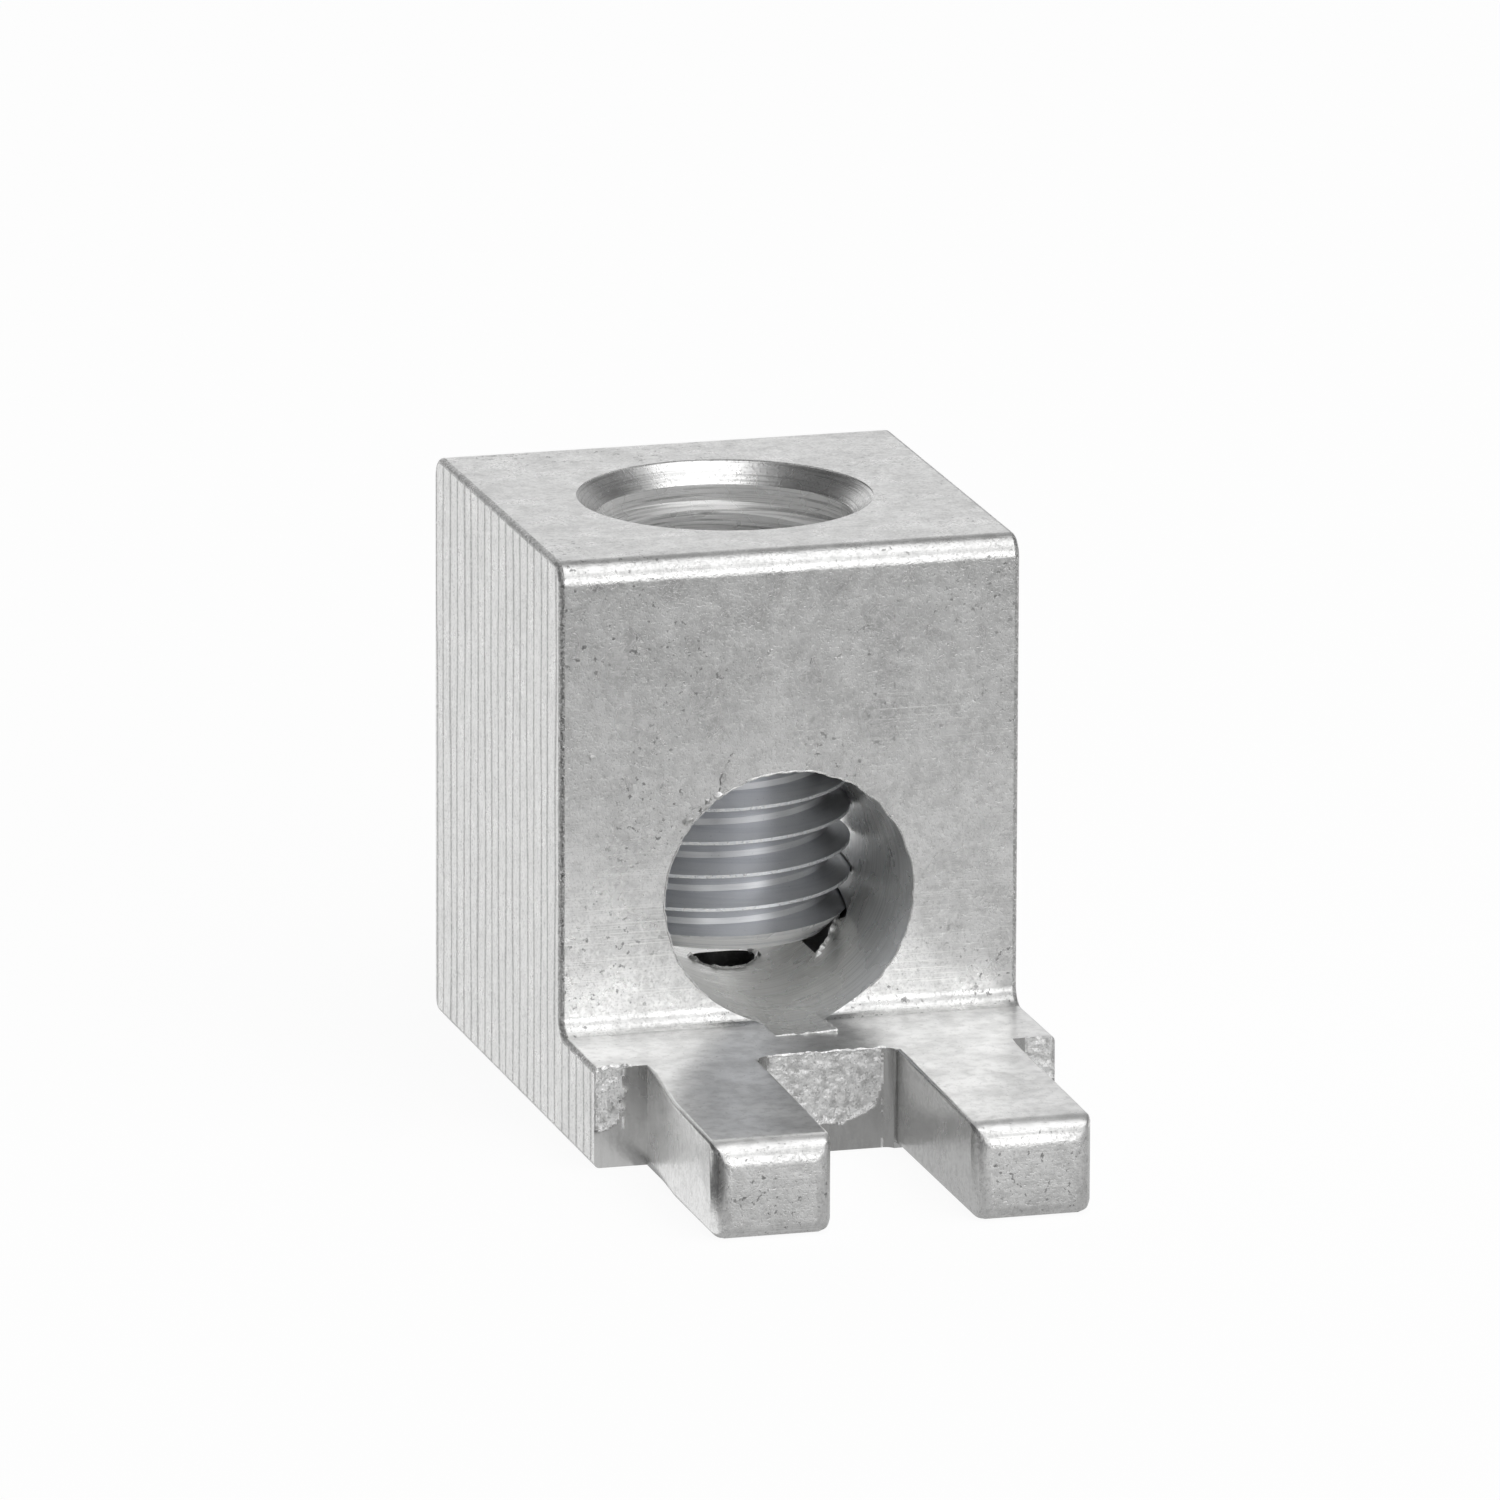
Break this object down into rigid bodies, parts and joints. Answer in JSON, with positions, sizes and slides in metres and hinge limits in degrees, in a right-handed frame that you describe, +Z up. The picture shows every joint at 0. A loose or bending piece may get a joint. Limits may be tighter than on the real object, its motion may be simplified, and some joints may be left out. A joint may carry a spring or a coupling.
{
  "type": "mechanical lug",
  "caption": "L-shaped aluminium wire lug: a round wire bore through the block, a set screw from the top to clamp the wire, and a flat foot that ends in punched prongs.",
  "frame": {"origin": "the point of the base face that lies under the set screw's axis", "axes": "+Z up along the set screw's axis, -Y along the foot towards the prong tips, +X along the sawn length of the extrusion"},
  "size_m": [0.0146, 0.0277, 0.0179],
  "materials": {
    "extruded_aluminium": "bare mill finish on the extruded faces, sawn sides, drilled and punched edges",
    "plated_steel": "bright bluish plating on a rolled thread"
  },
  "bodies": {
    "lug": {"lug_body": "extruded_aluminium"},
    "screw": {"set_screw": "plated_steel"}
  },
  "joints": [
    {"name": "screw_travel", "type": "slide", "parent": "lug", "child": "screw", "axis": [0, 0, 1], "range_m": [0, 0.00741]}
  ]
}
